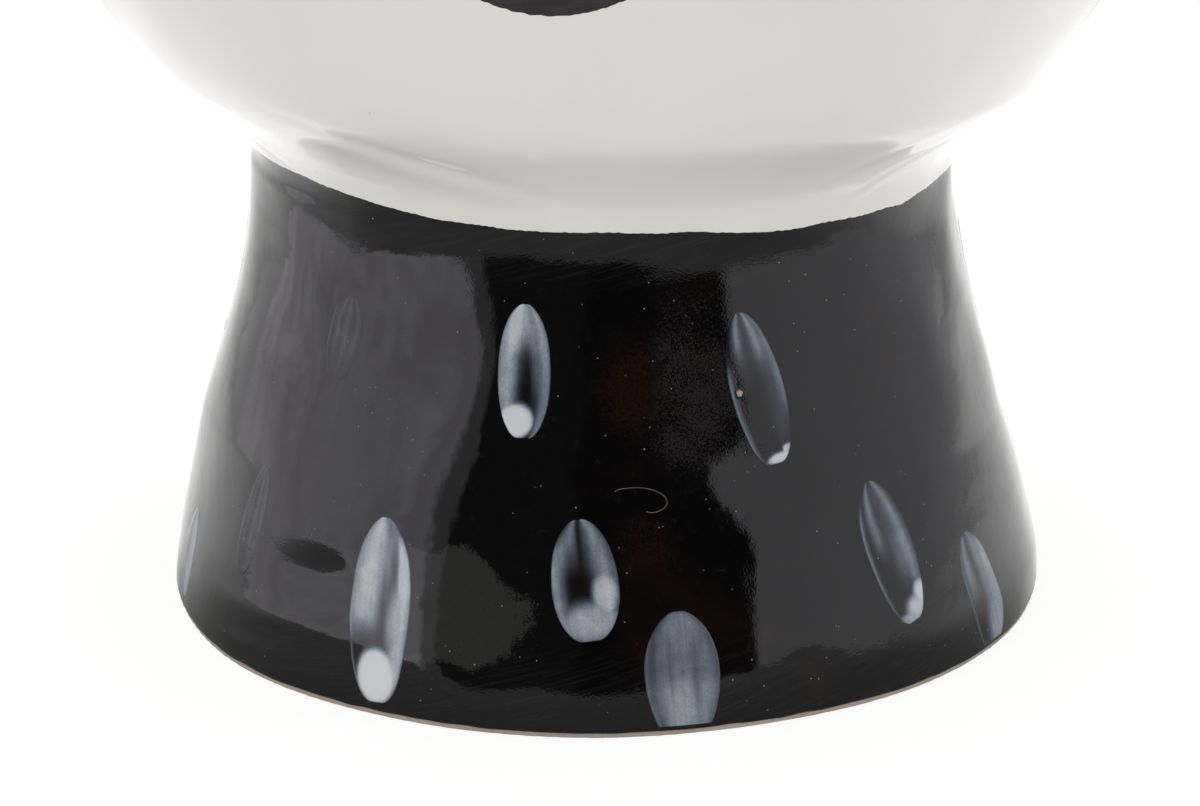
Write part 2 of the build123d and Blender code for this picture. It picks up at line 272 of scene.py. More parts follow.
def newObject(name, vertices, faces, materials, faceMaterials=None, smooth=True):
    mesh = bpy.data.meshes.new(name)
    mesh.from_pydata([tuple(v) for v in vertices], [], faces)
    for material in materials:
        mesh.materials.append(material)
    if faceMaterials is not None:
        mesh.polygons.foreach_set("material_index", faceMaterials)
    mesh.polygons.foreach_set("use_smooth", [smooth] * len(mesh.polygons))
    mesh.update()
    return linked(name, mesh)


def around(count):
    return np.arange(count) * math.tau / count


def bandFaces(low, high):
    # Faces between two closed rings of vertex numbers. One may have a whole number of times the other's.
    faces = []
    few, many = sorted((len(low), len(high)))
    share = many // few
    for i in range(few):
        if many == len(low):
            edge = [low[(i * share + k) % many] for k in range(share + 1)]
            faces.append(edge + [high[(i + 1) % few], high[i]])
        else:
            edge = [high[(i * share + k) % many] for k in range(share, -1, -1)]
            faces.append([low[i], low[(i + 1) % few]] + edge)
    return faces


def shell(name, rings, materials, secondFrom=None, closed=True, poles=False):
    # A wall from rings that go up outside and down inside. Rings from secondFrom on have the second material.
    vertices = np.concatenate(rings)
    starts = np.concatenate([[0], np.cumsum([len(r) for r in rings])])
    numbers = [np.arange(starts[i], starts[i + 1]) for i in range(len(rings))]
    faces, kinds = [], []
    pairs = list(zip(numbers, numbers[1:]))
    if closed:
        pairs.append((numbers[-1], numbers[0]))
    for i, (low, high) in enumerate(pairs):
        band = bandFaces(low.tolist(), high.tolist())
        faces += band
        kinds += [int(secondFrom is not None and i >= secondFrom)] * len(band)
    if poles:
        for ring, order in ((numbers[0], -1), (numbers[-1], 1)):
            vertices = np.vstack([vertices, vertices[ring].mean(axis=0)])
            middle = len(vertices) - 1
            turned = ring.tolist()[::order]
            fan = [[turned[i - 1], turned[i], middle] for i in range(len(turned))]
            faces += fan
            kinds += [0 if order < 0 else kinds[-1]] * len(fan)
    return newObject(name, vertices, faces, materials, kinds)


def patchFaces(rows, columns, first=0, flip=False):
    faces = []
    for j in range(rows - 1):
        for i in range(columns - 1):
            a = first + j * columns + i
            quad = [a, a + 1, a + columns + 1, a + columns]
            faces.append(quad[::-1] if flip else quad)
    return faces


def setUv(made, places):
    layer = made.data.uv_layers.new(name="UVMap")
    corners = np.zeros(len(made.data.loops), int)
    made.data.loops.foreach_get("vertex_index", corners)
    layer.data.foreach_set("uv", np.asarray(places, float)[corners].ravel())


def setAmount(made, name, values):
    made.data.attributes.new(name, "FLOAT", "POINT").data.foreach_set("value", np.asarray(values, np.float32))


def place(made, slot, *nodes):
    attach(made, "root")
    if nodes:
        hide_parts(*nodes)
    return made


def circle(turn, radius, level):
    return np.column_stack([radius * np.sin(turn), -radius * np.cos(turn), 0 * turn + level])


def shares(count):
    # Even steps over a gap, without its start.
    return np.linspace(0, 1, count)[1:]


# Shader building

class Tree:
    # A node tree of one family of nodes. What is put into a socket may be another node's output.
    def __init__(self, owner, family="ShaderNode"):
        self.owner = owner
        self.family = family
        self.nodes = owner.nodes
        self.links = owner.links
        self.nodes.clear()

    def node(self, kind, inputs=None, **settings):
        made = self.nodes.new(kind)
        for key, value in settings.items():
            setattr(made, key, value)
        for key, value in (inputs or {}).items():
            if isinstance(value, bpy.types.NodeSocket):
                self.links.new(value, made.inputs[key])
            else:
                made.inputs[key].default_value = value
        return made

    def add(self, kind, inputs=None, out=0, **settings):
        return self.node(self.family + kind, inputs, **settings).outputs[out]

    def math(self, operation, first, second=0.0, clamp=False):
        return self.add("Math", {0: first, 1: second}, operation=operation, use_clamp=clamp)

    def times(self, first, second, clamp=False):
        return self.math("MULTIPLY", first, second, clamp)

    def plus(self, first, second):
        return self.math("ADD", first, second)

    def axes(self, vector):
        return self.node("ShaderNodeSeparateXYZ", {0: vector}).outputs

    def direction(self, x, y):
        # The angle round the vase, from the face.
        return self.math("ARCTAN2", x, self.times(y, -1.0))

    def ramp(self, value, low, high, start=0.0, end=1.0, smooth=True):
        kind = "SMOOTHSTEP" if smooth else "LINEAR"
        inputs = {"Value": value, "From Min": low, "From Max": high, "To Min": start, "To Max": end}
        return self.add("MapRange", inputs, "Result", interpolation_type=kind)

    def noise(self, vector, scale, detail=2.0, rough=0.5, warp=0.0):
        inputs = {"Vector": vector, "Scale": scale, "Detail": detail, "Roughness": rough, "Distortion": warp}
        return self.add("TexNoise", inputs, "Fac")

    def blend(self, share, first, second):
        return self.add("Mix", {0: share, 6: first, 7: second}, 2, data_type="RGBA")

    def stretch(self, vector, scale):
        return self.add("VectorMath", {0: vector, 1: scale}, operation="MULTIPLY")

    def bump(self, height, strength, distance, below=None):
        inputs = {"Height": height, "Strength": strength, "Distance": distance}
        if below is not None:
            inputs["Normal"] = below
        return self.add("Bump", inputs)

    def both(self, first, second):
        return self.add("AddShader", {0: first, 1: second})

    def either(self, share, first, second):
        return self.add("MixShader", {0: share, 1: first, 2: second})


def newMaterial(name):
    # The material, its tree, and the piece's own coordinates in it.
    material = bpy.data.materials.new(name)
    material.use_nodes = True
    tree = Tree(material.node_tree)
    return material, tree, tree.add("TexCoord", out="Object")


def finish(tree, color, roughness, normal, refraction=1.5):
    inputs = {"Base Color": color, "Roughness": roughness, "IOR": refraction, "Normal": normal}
    tree.node("ShaderNodeOutputMaterial", {"Surface": tree.add("BsdfPrincipled", inputs)})


def rgb(red, green, blue):
    # A colour given as it shows, 0 to 255, as the linear one that a socket takes.
    channels = []
    for value in (red, green, blue):
        share = value / 255
        channels.append(share / 12.92 if share <= 0.04045 else ((share + 0.055) / 1.055) ** 2.4)
    return (*channels, 1.0)


def speckle(tree, point, scale, size, keep):
    # Small round spots in a few cells of a Voronoi pattern. keep is the share of the cells with one.
    cells = tree.node("ShaderNodeTexVoronoi", {"Vector": point, "Scale": scale}).outputs
    chosen = tree.math("LESS_THAN", tree.add("SeparateColor", {0: cells["Color"]}), keep)
    return tree.times(tree.ramp(cells["Distance"], size, size * 0.6), chosen)


# Where the peel of the black glaze is coarsest
peelTurn = 20 * degree
peelLevel = 62 * mm
blackRefraction = 1.52


def glazeBump(tree, point):
    # Orange peel over slow waves, the same on every black glaze, so that marks on it share its surface.
    # The peel is coarse in some places and hardly there in others.
    rough = tree.ramp(tree.noise(point, 24), 0.42, 0.68, 0.03, 0.2)
    spot = tuple(wallPoint(peelTurn, peelLevel))
    away = tree.add("VectorMath", {0: point, 1: spot}, "Value", operation="DISTANCE")
    rough = tree.math("MAXIMUM", rough, tree.ramp(away, 32 * mm, 8 * mm, 0.0, 0.34))
    slow = tree.bump(tree.noise(point, 120, 2.5), 0.3, 0.35 * mm)
    return tree.bump(tree.noise(point, 2600, 1.0), rough, 0.06 * mm, slow)


def wipeStreaks(tree, point):
    # Fine slanted streaks that a sponge left, near the foot's edge and under the white glaze.
    level = tree.axes(point)[2]
    where = tree.plus(tree.ramp(level, 20 * mm, 8 * mm), tree.ramp(level, 74 * mm, 80 * mm))
    slanted = tree.add("VectorRotate", {"Vector": point, "Angle": 0.3}, rotation_type="Y_AXIS")
    streaks = tree.noise(tree.stretch(slanted, (1.0, 1.0, 30.0)), 70, 4, 0.75)
    return tree.times(tree.ramp(streaks, 0.42, 0.75), where)


# Patches in the black glaze's colour: the grey ones are painted reflection, the brown ones thinner glaze.
# Direction in degrees, level, half width in degrees, half height, how far in the grains go, colour
glazeFilmsAndSheen = [
    (-16, 20.5, 12.5, 10.5, 0.35, rgb(45, 45, 45)),
    (17, 58, 10, 19, 1.5, rgb(36, 34, 34)),
    (8.5, 60, 6, 12, 1.7, rgb(34, 17, 12)),
    (10, 33, 5, 6, 1.7, rgb(34, 17, 12)),
]


def filmAndSheenShare(tree, point, turn, level, halfWidth, halfHeight, grains):
    # A patch that breaks up into grains towards its edge, for the painted reflections and the thin glaze
    # alike.
    axes = tree.axes(point)
    around = tree.math("SUBTRACT", tree.direction(axes[0], axes[1]), turn * degree)
    across = tree.math("DIVIDE", around, halfWidth * degree)
    up = tree.math("DIVIDE", tree.math("SUBTRACT", axes[2], level * mm), halfHeight * mm)
    away = tree.plus(tree.times(across, across), tree.times(up, up))
    away = tree.plus(away, tree.ramp(tree.noise(point, 130, 3, 0.6), 0.3, 0.7, -0.25, 0.25))
    share = tree.ramp(away, 1.1, 1.1 - grains, smooth=False)
    grain = tree.ramp(tree.noise(point, 3200, 3, 0.75), 0.32, 0.68, smooth=False)
    return tree.ramp(tree.plus(share, grain), 0.9, 1.25)


def blackBase(tree, point):
    # Near black, browner where the glaze is thin, with grey patches of painted reflection and a few pale
    # pits.
    thin = tree.ramp(tree.noise(point, 34, 4, 0.6, 0.6), 0.56, 0.84)
    color = tree.blend(thin, rgb(8, 7, 8), rgb(27, 15, 12))
    cloudy = tree.ramp(tree.noise(point, 420, 3, 0.7), 0.58, 0.85)
    color = tree.blend(tree.times(cloudy, 0.3), color, rgb(50, 48, 48))
    color = tree.blend(tree.times(wipeStreaks(tree, point), 0.22), color, rgb(60, 58, 58))
    # Grey patches painted in as reflection, brown patches of thin glaze
    for *where, filmAndSheenColor in glazeFilmsAndSheen:
        color = tree.blend(filmAndSheenShare(tree, point, *where), color, filmAndSheenColor)
    color = tree.blend(speckle(tree, point, 430, 0.06, 0.32), color, rgb(128, 126, 122))
    return tree.blend(speckle(tree, point, 170, 0.04, 0.16), color, rgb(168, 160, 150))


def blackGlaze():
    material, tree, point = newMaterial("BlackGlaze")
    roughness = tree.ramp(tree.noise(point, 60, 3, 0.6), 0.3, 0.8, 0.035, 0.075)
    finish(tree, blackBase(tree, point), roughness, glazeBump(tree, point), blackRefraction)
    return material


def slipGlaze():
    # White brush marks under the clear gloss: the slip attribute says how much white covers the black.
    material, tree, point = newMaterial("WhiteSlip")
    amount = tree.add("Attribute", out="Fac", attribute_name="slip")
    along = tree.add("UVMap", out="UV", uv_map="UVMap")
    streaks = tree.ramp(tree.noise(tree.stretch(along, (1.0, 0.07, 1.0)), 0.95, 2, 0.6), 0.3, 0.7, 0.87, 1.08)
    cloud = tree.ramp(tree.noise(along, 0.35), 0.2, 0.8, 0.85, 1.12)
    grain = tree.ramp(tree.noise(point, 2600, 2, 0.6), 0.3, 0.7, 0.88, 1.1)
    ragged = tree.times(tree.times(streaks, cloud), grain)
    even = tree.add("Mix", {0: tree.ramp(amount, 0.55, 0.8), 2: ragged, 3: 1.0})
    slip = tree.blend(tree.ramp(amount, 0.15, 0.85), rgb(182, 200, 226), rgb(224, 231, 239))
    color = tree.blend(tree.times(amount, even, True), blackBase(tree, point), slip)
    finish(tree, color, 0.05, glazeBump(tree, point), blackRefraction)
    return material


def whiteGlaze():
    material, tree, point = newMaterial("WhiteGlaze")
    cloud = tree.noise(point, 16, 3)
    color = tree.blend(tree.ramp(cloud, 0.3, 0.7), rgb(232, 230, 226), rgb(236, 235, 232))
    warm = tree.ramp(tree.noise(point, 130, 4, 0.65), 0.6, 0.9)
    color = tree.blend(tree.times(warm, 0.3), color, rgb(226, 216, 208))
    color = tree.blend(tree.times(speckle(tree, point, 190, 0.05, 0.1), 0.4), color, rgb(150, 142, 132))
    slow = tree.bump(tree.noise(point, 70, 1, 0.4), 0.2, 0.3 * mm)
    peel = tree.bump(tree.noise(point, 600), 0.06, 0.05 * mm, slow)
    finish(tree, color, tree.ramp(cloud, 0.2, 0.8, 0.06, 0.1), peel)
    return material


def blackPaint():
    # Underglaze black on the face, thinner than the foot's glaze, with faint brush streaks.
    material, tree, point = newMaterial("BlackPaint")
    streak = tree.ramp(tree.noise(tree.stretch(point, (1.0, 1.0, 4.0)), 140, 3, 0.6), 0.35, 0.75)
    color = tree.blend(streak, rgb(40, 38, 39), rgb(54, 51, 52))
    finish(tree, color, 0.08, tree.bump(tree.noise(point, 600), 0.08, 0.05 * mm))
    return material


def bareClay():
    material, tree, point = newMaterial("BareClay")
    grain = tree.noise(point, 1500, 4, 0.7)
    patch = tree.ramp(tree.noise(point, 120, 3, 0.6), 0.3, 0.7)
    color = tree.blend(patch, rgb(178, 165, 155), rgb(160, 150, 143))
    color = tree.blend(tree.ramp(grain, 0.52, 0.75, 0.0, 0.55), color, rgb(120, 110, 102))
    finish(tree, color, 0.85, tree.bump(grain, 0.6, 0.15 * mm))
    return material


white, black, slip, paint, clay = whiteGlaze(), blackGlaze(), slipGlaze(), blackPaint(), bareClay()
print("materials made")


# Head: one glazed skin over the bowl and the dome, with hand-painted edges on the foot and the collar

glazeLine = {
    "turns": [
        -170, -130, -100, -67, -48, -34, -27, -18, -10.5, -1.5, 7, 19, 29, 36, 45, 54, 58, 64, 79, 110, 150,
    ],
    "levels": [
        85, 86.4, 88.6, 89.3, 88.6, 87.3, 86.3, 85.7, 85.3, 85.1, 85.3, 84.8, 83.8, 83.5, 83.6, 83.4, 82.9,
        83.9, 84.3, 86, 84.4,
    ],
}
lineJitter = makeRipple(5, 26, (50, 330), (10 * mm, 40 * mm), 0.055 * mm)
lineWander = makeRipple(6, 8, (9, 34), (30 * mm, 90 * mm), 0.11 * mm)


def glazeLineLevel(turn):
    turns, levels = np.array(glazeLine["turns"], float), np.array(glazeLine["levels"], float)
    wrapped = np.mod(turn / degree + 180, 360) - 180
    turns = np.concatenate([turns[-1:] - 360, turns, turns[:1] + 360])
    levels = np.concatenate([levels[-1:], levels, levels[:1]])
    return np.interp(wrapped, turns, levels) * mm + lineJitter(turn, 0) + lineWander(turn, 0)


def topLineLevel(turn, level, spread):
    return level + lineWander(turn, 0.05) * spread + lineJitter(turn, 0.05)


# Rings of the glaze's rolled edges: height over the line, lift off the wall. Levels where the skins change.
headEdge = ((-0.05, -0.5), (0.0, 0.0), (0.03, 0.11), (0.12, 0.18), (0.3, 0.22), (0.75, 0.22))
collarEdge = ((0.12, 0.1), (0.12, -0.6), (-0.3, -3))
footEdge = ((0.0, -2.5), (0.0, -0.4), (0.02, -0.18), (0.12, -0.05), (0.35, 0.0), (0.8, 0.0))
slabEdge = ((0.0, -0.75), (0.12, -0.45), (0.4, -0.28), (0.8, -0.24), (1.6, -0.4))
seam = 93.5 * mm
neckEnd = 112 * mm
shoulderStart = shoulderLevel - 4 * mm
collarLine = shoulderLevel + 2.6 * mm
innerLine = collarTop - 17 * mm
innerGlaze = 0.25 * mm
overlap = 0.22 * mm
overlapEnd = 98 * mm
overlapFade = 5 * mm


def neckLift(level):
    # The white glaze lies over the black near the neck, and is the wall itself higher up.
    return overlap * np.clip((overlapEnd - level) / overlapFade, 0, 1)


def lining(turns, levels):
    return [wallPoint(turns, level, -wallThickness) for level in levels]


def headSkin():
    fine, coarse, inside = around(1440), around(480), around(240)
    edge = glazeLineLevel(fine)
    rings = [wallPoint(fine, edge + above * mm, lift * mm) for above, lift in headEdge]
    start = edge + headEdge[-1][0] * mm
    for share in shares(12):
        level = start + (seam - start) * share
        rings.append(wallPoint(fine, level, neckLift(level)))
    for level in levelsBetween(seam, neckEnd, 1.1 * mm)[1:]:
        rings.append(wallPoint(coarse, level, neckLift(level)))
    rings += [wallPoint(coarse, level) for level in levelsBetween(neckEnd, shoulderStart, 2.4 * mm)[1:]]
    top = topLineLevel(coarse, collarLine, 0.8)
    for share in shares(9):
        rings.append(wallPoint(coarse, shoulderStart + (top - shoulderStart) * share, 0.2 * mm * share))
    rings += [wallPoint(coarse, top + above * mm, lift * mm) for above, lift in collarEdge]
    inner = topLineLevel(inside, innerLine, 5.0)
    rings.append(wallPoint(inside, inner, -wallThickness + 0.3 * mm))
    rings.append(wallPoint(inside, inner - 0.1 * mm, -wallThickness - innerGlaze))
    for share in shares(12):
        rings.append(wallPoint(inside, inner + (shoulderLevel - inner) * share, -wallThickness - innerGlaze))
    belly = levelsBetween(100 * mm, shoulderLevel - 6 * mm, 5 * mm)[::-1]
    rings += lining(inside, (*belly, *np.linspace(96, 84, 7) * mm))
    return place(shell("head_glaze", rings, [white]), "white_glaze", "head_bowl", "head_dome")


headSkin()


# Foot: black outside, white inside, with the bare clay of its slab below the glaze

def footSkin():
    outside, inside = around(600), around(300)
    edge = 1.0 * mm + makeRipple(8, 14, (8, 90), (20 * mm, 60 * mm), 0.07 * mm)(outside, 0)
    rings = [wallPoint(outside, edge + above * mm, lift * mm) for above, lift in footEdge]
    start = edge + footEdge[-1][0] * mm
    rings += [wallPoint(outside, start + (creaseEnd - start) * share) for share in shares(96)]
    rings.append(wallPoint(outside, creaseEnd, -2 * mm))
    whiteFrom = len(rings)
    rings += lining(inside, np.linspace(creaseEnd - wallThickness, slabTop, 18))
    return place(shell("foot_glaze", rings, [black, white], whiteFrom), "black_glaze", "foot_wall")


def slabSkin():
    outside = around(600)
    crumble = makeRipple(9, 18, (40, 200), (20 * mm, 60 * mm), 0.05 * mm)(outside, 0)
    rings = [circle(outside, slabRadius * share, 0) for share in (0.25, 0.5, 0.75)]
    rings += [wallPoint(outside, level * mm, lift * mm + crumble) for level, lift in slabEdge]
    whiteFrom = len(rings) - 1
    rings += [circle(outside, slabRadius * share, slabTop) for share in (0.93, 0.6, 0.3)]
    made = shell("base_clay", rings, [clay, white], whiteFrom, closed=False, poles=True)
    return place(made, "bare_clay", "base_slab")


footSkin()
slabSkin()
print("head and foot made")


# Collar and rolled rim, one black glaze

def collarSkin():
    outside, inside = around(400), around(200)
    rings = []
    for level in levelsBetween(shoulderLevel - 1 * mm, collarTop, 1.1 * mm):
        sunk = np.clip((shoulderLevel + 1.8 * mm - level) / (1 * mm), 0, 1)
        rings.append(wallPoint(outside, level, -1.2 * mm * sunk))
    half = (rimTop - collarTop) * 0.6
    middle = collarRadius - wallThickness / 2 + reliefAt(outside, collarTop)
    press = makeRipple(14, 10, (3, 16), (30 * mm, 90 * mm), 0.16 * mm)
    for angle in np.linspace(-36, 216, 22) * degree:
        radius = half + press(outside, angle * 20 * mm)
        out, up = radius * math.cos(angle), radius * math.sin(angle)
        rings.append(circle(outside, middle + out, rimTop - half + up))
    rings += lining(inside, np.linspace(collarTop - 0.5 * mm, shoulderLevel + 4 * mm, 22))
    return place(shell("collar_glaze", rings, [black]), "black_glaze", "mouth_collar", "rim_coil")


coilDepths = {"foot_coil": 7 * mm, "neck_coil": 3.5 * mm, "equator_coil": 3.5 * mm, "collar_coil": 3.5 * mm}


def pressedCoil(name, depth, seed):
    # A coil smoothed over a joint with the thumb: the frame's ring with thumb marks.
    low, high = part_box(name)
    ring = around(180)
    thumb = makeRipple(seed, 12, (9, 40), (8 * mm, 30 * mm), 0.5 * mm)
    middle, half = (low.z + high.z) / 2, (high.z - low.z) / 2
    rings = []
    for angle in np.linspace(90, 270, 13) * degree:
        out = high.x + depth * math.cos(angle) * (1 + 60 * thumb(ring, angle * 8 * mm))
        rings.append(circle(ring, out, middle + half * math.sin(angle)))
    return place(shell(name + "_pressed", rings, [white]), "inner_glaze", name)


collarSkin()
for i, (name, depth) in enumerate(coilDepths.items()):
    pressedCoil(name, depth, 20 + i)
print("collar and coils made")


# Brush daubs. A stroke is (across at the top, across at the bottom, half width, lowest, highest, amount) in
# shares of the mark's half width where it runs and of its half length. A blob or a hollow is (across, along,
# half width, half height, amount, softness) in shares of the whole mark's half sizes. An amount is a share of
# full white.

daubKinds = {
    "full": {
        "strokes": [
            (-0.58, -0.66, 0.42, -0.95, 1.2, 0.54), (0.74, 0.84, 0.27, -1.1, 1.2, 0.4),
            (0.02, 0.05, 0.6, 0.34, 1.2, 0.52), (0.36, 0.4, 0.14, -0.45, 0.4, 0.14),
        ],
        "hollows": [(0.05, -0.12, 0.26, 0.5, 0.72, 0.5), (0.1, -0.4, 0.44, 0.26, 0.7, 0.4)],
        "blobs": [(-0.28, -0.73, 0.62, 0.25, 0.86, 0.12)],
    },
    "outlined": {
        "strokes": [
            (-0.92, -0.95, 0.11, -1.0, 0.3, 0.38), (0.9, 0.9, 0.18, -0.3, 1.1, 0.28),
            (-0.45, -0.3, 0.2, 0.5, 1.1, 0.3), (0.42, 0.6, 0.2, 0.36, 1.1, 0.3),
            (0.5, 0.62, 0.3, -0.7, 0.95, 0.06), (0.0, 0.0, 0.8, 0.3, 1.1, 0.05),
        ],
        "blobs": [(0.2, -0.93, 0.5, 0.07, 0.8, 0.2), (0.5, -0.84, 0.18, 0.06, 0.7, 0.2)],
    },
    "lobed": {
        "strokes": [
            (-0.3, -0.62, 0.66, -0.15, 1.2, 0.68), (0.9, 0.66, 0.36, -0.9, 0.75, 0.62),
            (0.8, 0.8, 0.3, 0.2, 1.2, 0.26), (-0.98, -0.97, 0.07, -0.85, -0.05, 0.4),
            (0.3, 0.3, 0.9, -1.2, -0.66, 0.34),
        ],
        "hollows": [
            (0.4, 0.36, 0.12, 0.4, 0.8, 0.45), (0.14, -0.02, 0.16, 0.36, 0.78, 0.5),
            (-0.3, -0.4, 0.5, 0.18, 0.8, 0.4),
        ],
        "blobs": [(0.0, -0.7, 0.6, 0.3, 0.95, 0.12), (0.6, -0.1, 0.26, 0.34, 0.72, 0.7)],
    },
    "hooked": {
        "strokes": [
            (-0.5, -0.35, 0.3, 0.2, 1.2, 0.34), (0.5, 0.75, 0.36, -0.15, 1.2, 0.4),
            (-0.9, -0.86, 0.26, -0.9, 0.6, 0.42), (-0.2, -0.3, 0.5, -1.2, -0.62, 0.3),
        ],
        "hollows": [
            (-0.06, 0.6, 0.07, 0.5, 0.85, 0.5), (-0.3, 0.12, 0.26, 0.36, 0.8, 0.5),
            (-0.04, -0.12, 0.38, 0.26, 0.88, 0.4),
        ],
        "blobs": [(0.56, -0.24, 0.34, 0.34, 0.7, 0.25), (0.06, -0.68, 0.8, 0.28, 0.62, 0.35)],
    },
    "streaky": {
        "strokes": [
            (-0.55, -0.4, 0.34, -1.1, 1.1, 0.22), (0.1, 0.0, 0.42, -1.1, 1.1, 0.25),
            (0.62, 0.7, 0.36, -1.1, 1.0, 0.25), (-0.92, -0.94, 0.08, -1.1, 0.6, 0.16),
            (-0.1, 0.0, 0.8, -1.1, -0.05, 0.2), (-0.1, 0.1, 0.7, 0.55, 1.1, 0.1),
        ],
        "hollows": [(-0.3, 0.2, 0.06, 0.5, 0.4, 0.6), (0.36, 0.0, 0.08, 0.6, 0.35, 0.6)],
        "blobs": [(0.72, -0.93, 0.14, 0.05, 0.8, 0.2)],
    },
    "swept": {
        "strokes": [
            (-0.93, -0.97, 0.09, -0.9, 0.7, 0.34), (-0.5, -0.2, 0.18, 0.1, 1.1, 0.28),
            (0.5, 0.8, 0.22, -0.6, 1.1, 0.3), (0.1, 0.35, 0.34, -0.45, 0.95, 0.09),
            (0.3, 0.5, 0.3, -0.3, 0.15, 0.14),
        ],
        "blobs": [
            (0.6, -0.68, 0.3, 0.16, 0.8, 0.25), (0.34, -0.82, 0.5, 0.14, 0.74, 0.3),
            (-0.1, -0.94, 0.6, 0.1, 0.6, 0.3),
        ],
    },
    "washed": {
        "strokes": [
            (-0.6, -0.5, 0.28, 0.1, 1.1, 0.3), (0.35, 0.35, 0.4, -1.1, 1.1, 0.28),
            (0.8, 0.75, 0.24, -1.1, 0.8, 0.34), (-0.96, -0.97, 0.07, -1.1, 0.9, 0.26),
        ],
        "hollows": [(-0.1, 0.5, 0.1, 0.6, 0.8, 0.5), (-0.35, -0.3, 0.3, 0.5, 0.5, 0.5)],
        "blobs": [(0.35, -0.6, 0.5, 0.42, 0.5, 0.4)],
    },
    "faint": {
        "strokes": [
            (-0.5, -0.5, 0.12, -0.5, 1.1, 0.06), (0.0, 0.1, 0.12, -0.7, 1.1, 0.07),
            (0.6, 0.6, 0.12, -0.4, 1.1, 0.06), (-0.9, -0.9, 0.1, -0.3, 0.7, 0.05),
        ],
        "hollows": [(0.0, -1.0, 1.2, 0.5, 0.9, 0.5)],
    },
}

# Foot daubs in the photograph: direction in degrees, level, length, width, lean in degrees, kind
footDaubs = [
    (-36.6, 62.0, 14.9, 8.8, -6, "faint"),
    (-6.3, 61.3, 22.8, 9.6, 1.5, "full"),
    (26.8, 57.2, 27.0, 10.2, 11, "outlined"),
    (-47.6, 26.6, 20.4, 7.6, -5, "faint"),
    (2.5, 27.0, 20.6, 12.0, 7, "hooked"),
    (44.5, 25.2, 26.4, 11.2, 12, "swept"),
    (-66.0, 12.0, 18.0, 8.5, -6, "washed"),
    (-23.6, 18.4, 32.0, 12.4, 4, "lobed"),
    (14.2, 10.4, 22.6, 13.6, 3, "streaky"),
    (60.9, 11.6, 24.0, 11.0, 12, "washed"),
]


def wander(step):
    return math.sin(2.4 * step) * math.cos(2.4 * step * step)


# Length and width of the daubs at the back and on the collar
backMark = (24, 10.5)
collarMark = (12, 8.4)


def backDaubs():
    # The rows that carry the pattern on round the back, where the frame has them: first and last direction,
    # number of marks, height as a share of the foot's.
    kinds = ("full", "swept", "streaky", "hooked", "outlined", "lobed", "washed")
    marks = []
    for first, last, count, share in ((92.0, 280.0, 7, 0.7), (94.0, 266.0, 5, 0.31), (114.0, 246.0, 4, 0.14)):
        for i in range(count):
            turn = first + (last - first) * i / (count - 1) + 5 * wander(i + share)
            length = backMark[0] * (1 + 0.12 * wander(i + 1 + share))
            level = max(footHeight / mm * (share + 0.03 * wander(i + 2 + share)), 2 + length / 2)
            kind = kinds[(3 * i + int(share * 10)) % len(kinds)]
            marks.append((turn, level, length, backMark[1], 10 * wander(i), kind))
    return marks


def collarDaubs():
    kinds = ("hooked", "full", "streaky", "lobed", "swept")
    marks = []
    bottom, top = shoulderLevel / mm, collarTop / mm
    for first, share in ((6.0, 0.34), (24.0, 0.76)):
        for i in range(10):
            length = collarMark[0] * (1 + 0.12 * wander(i + share))
            level = min(bottom + (top - bottom) * share, top - 0.8 - length / 2)
            kind = kinds[(2 * i + int(share * 10)) % len(kinds)]
            marks.append((first + 36 * i, level, length, collarMark[1], 10 * wander(i + 1), kind))
    return marks


def daubAmount(kind, across, along, flat):
    # across is measured in the mark's own width at each height, flat in its greatest half width.
    def spot(x, y, half, height, amount, soft):
        away = ((flat - x) / half) ** 2 + ((along - y) / height) ** 2
        return amount / (1 + np.exp((away - 1) / soft))

    total = np.zeros_like(across)
    for top, bottom, half, low, high, amount in kind["strokes"]:
        middle = bottom + (top - bottom) * (along + 1) / 2
        fade = 1 / (1 + np.exp(-(along - low) / 0.08)) / (1 + np.exp((along - high) / 0.06))
        total = total + amount * np.exp(-((across - middle) / half) ** 2) * fade
    total = np.clip(total, 0, 0.7)
    for hollow in kind.get("hollows", ()):
        total = total * (1 - spot(*hollow))
    for blob in kind.get("blobs", ()):
        total = np.maximum(total, spot(*blob))
    return np.clip(total, 0, 1)


daubSpacing = 0.4

# Lowest level of a daub's edge, over the bare clay
daubFloor = 1.9 * mm


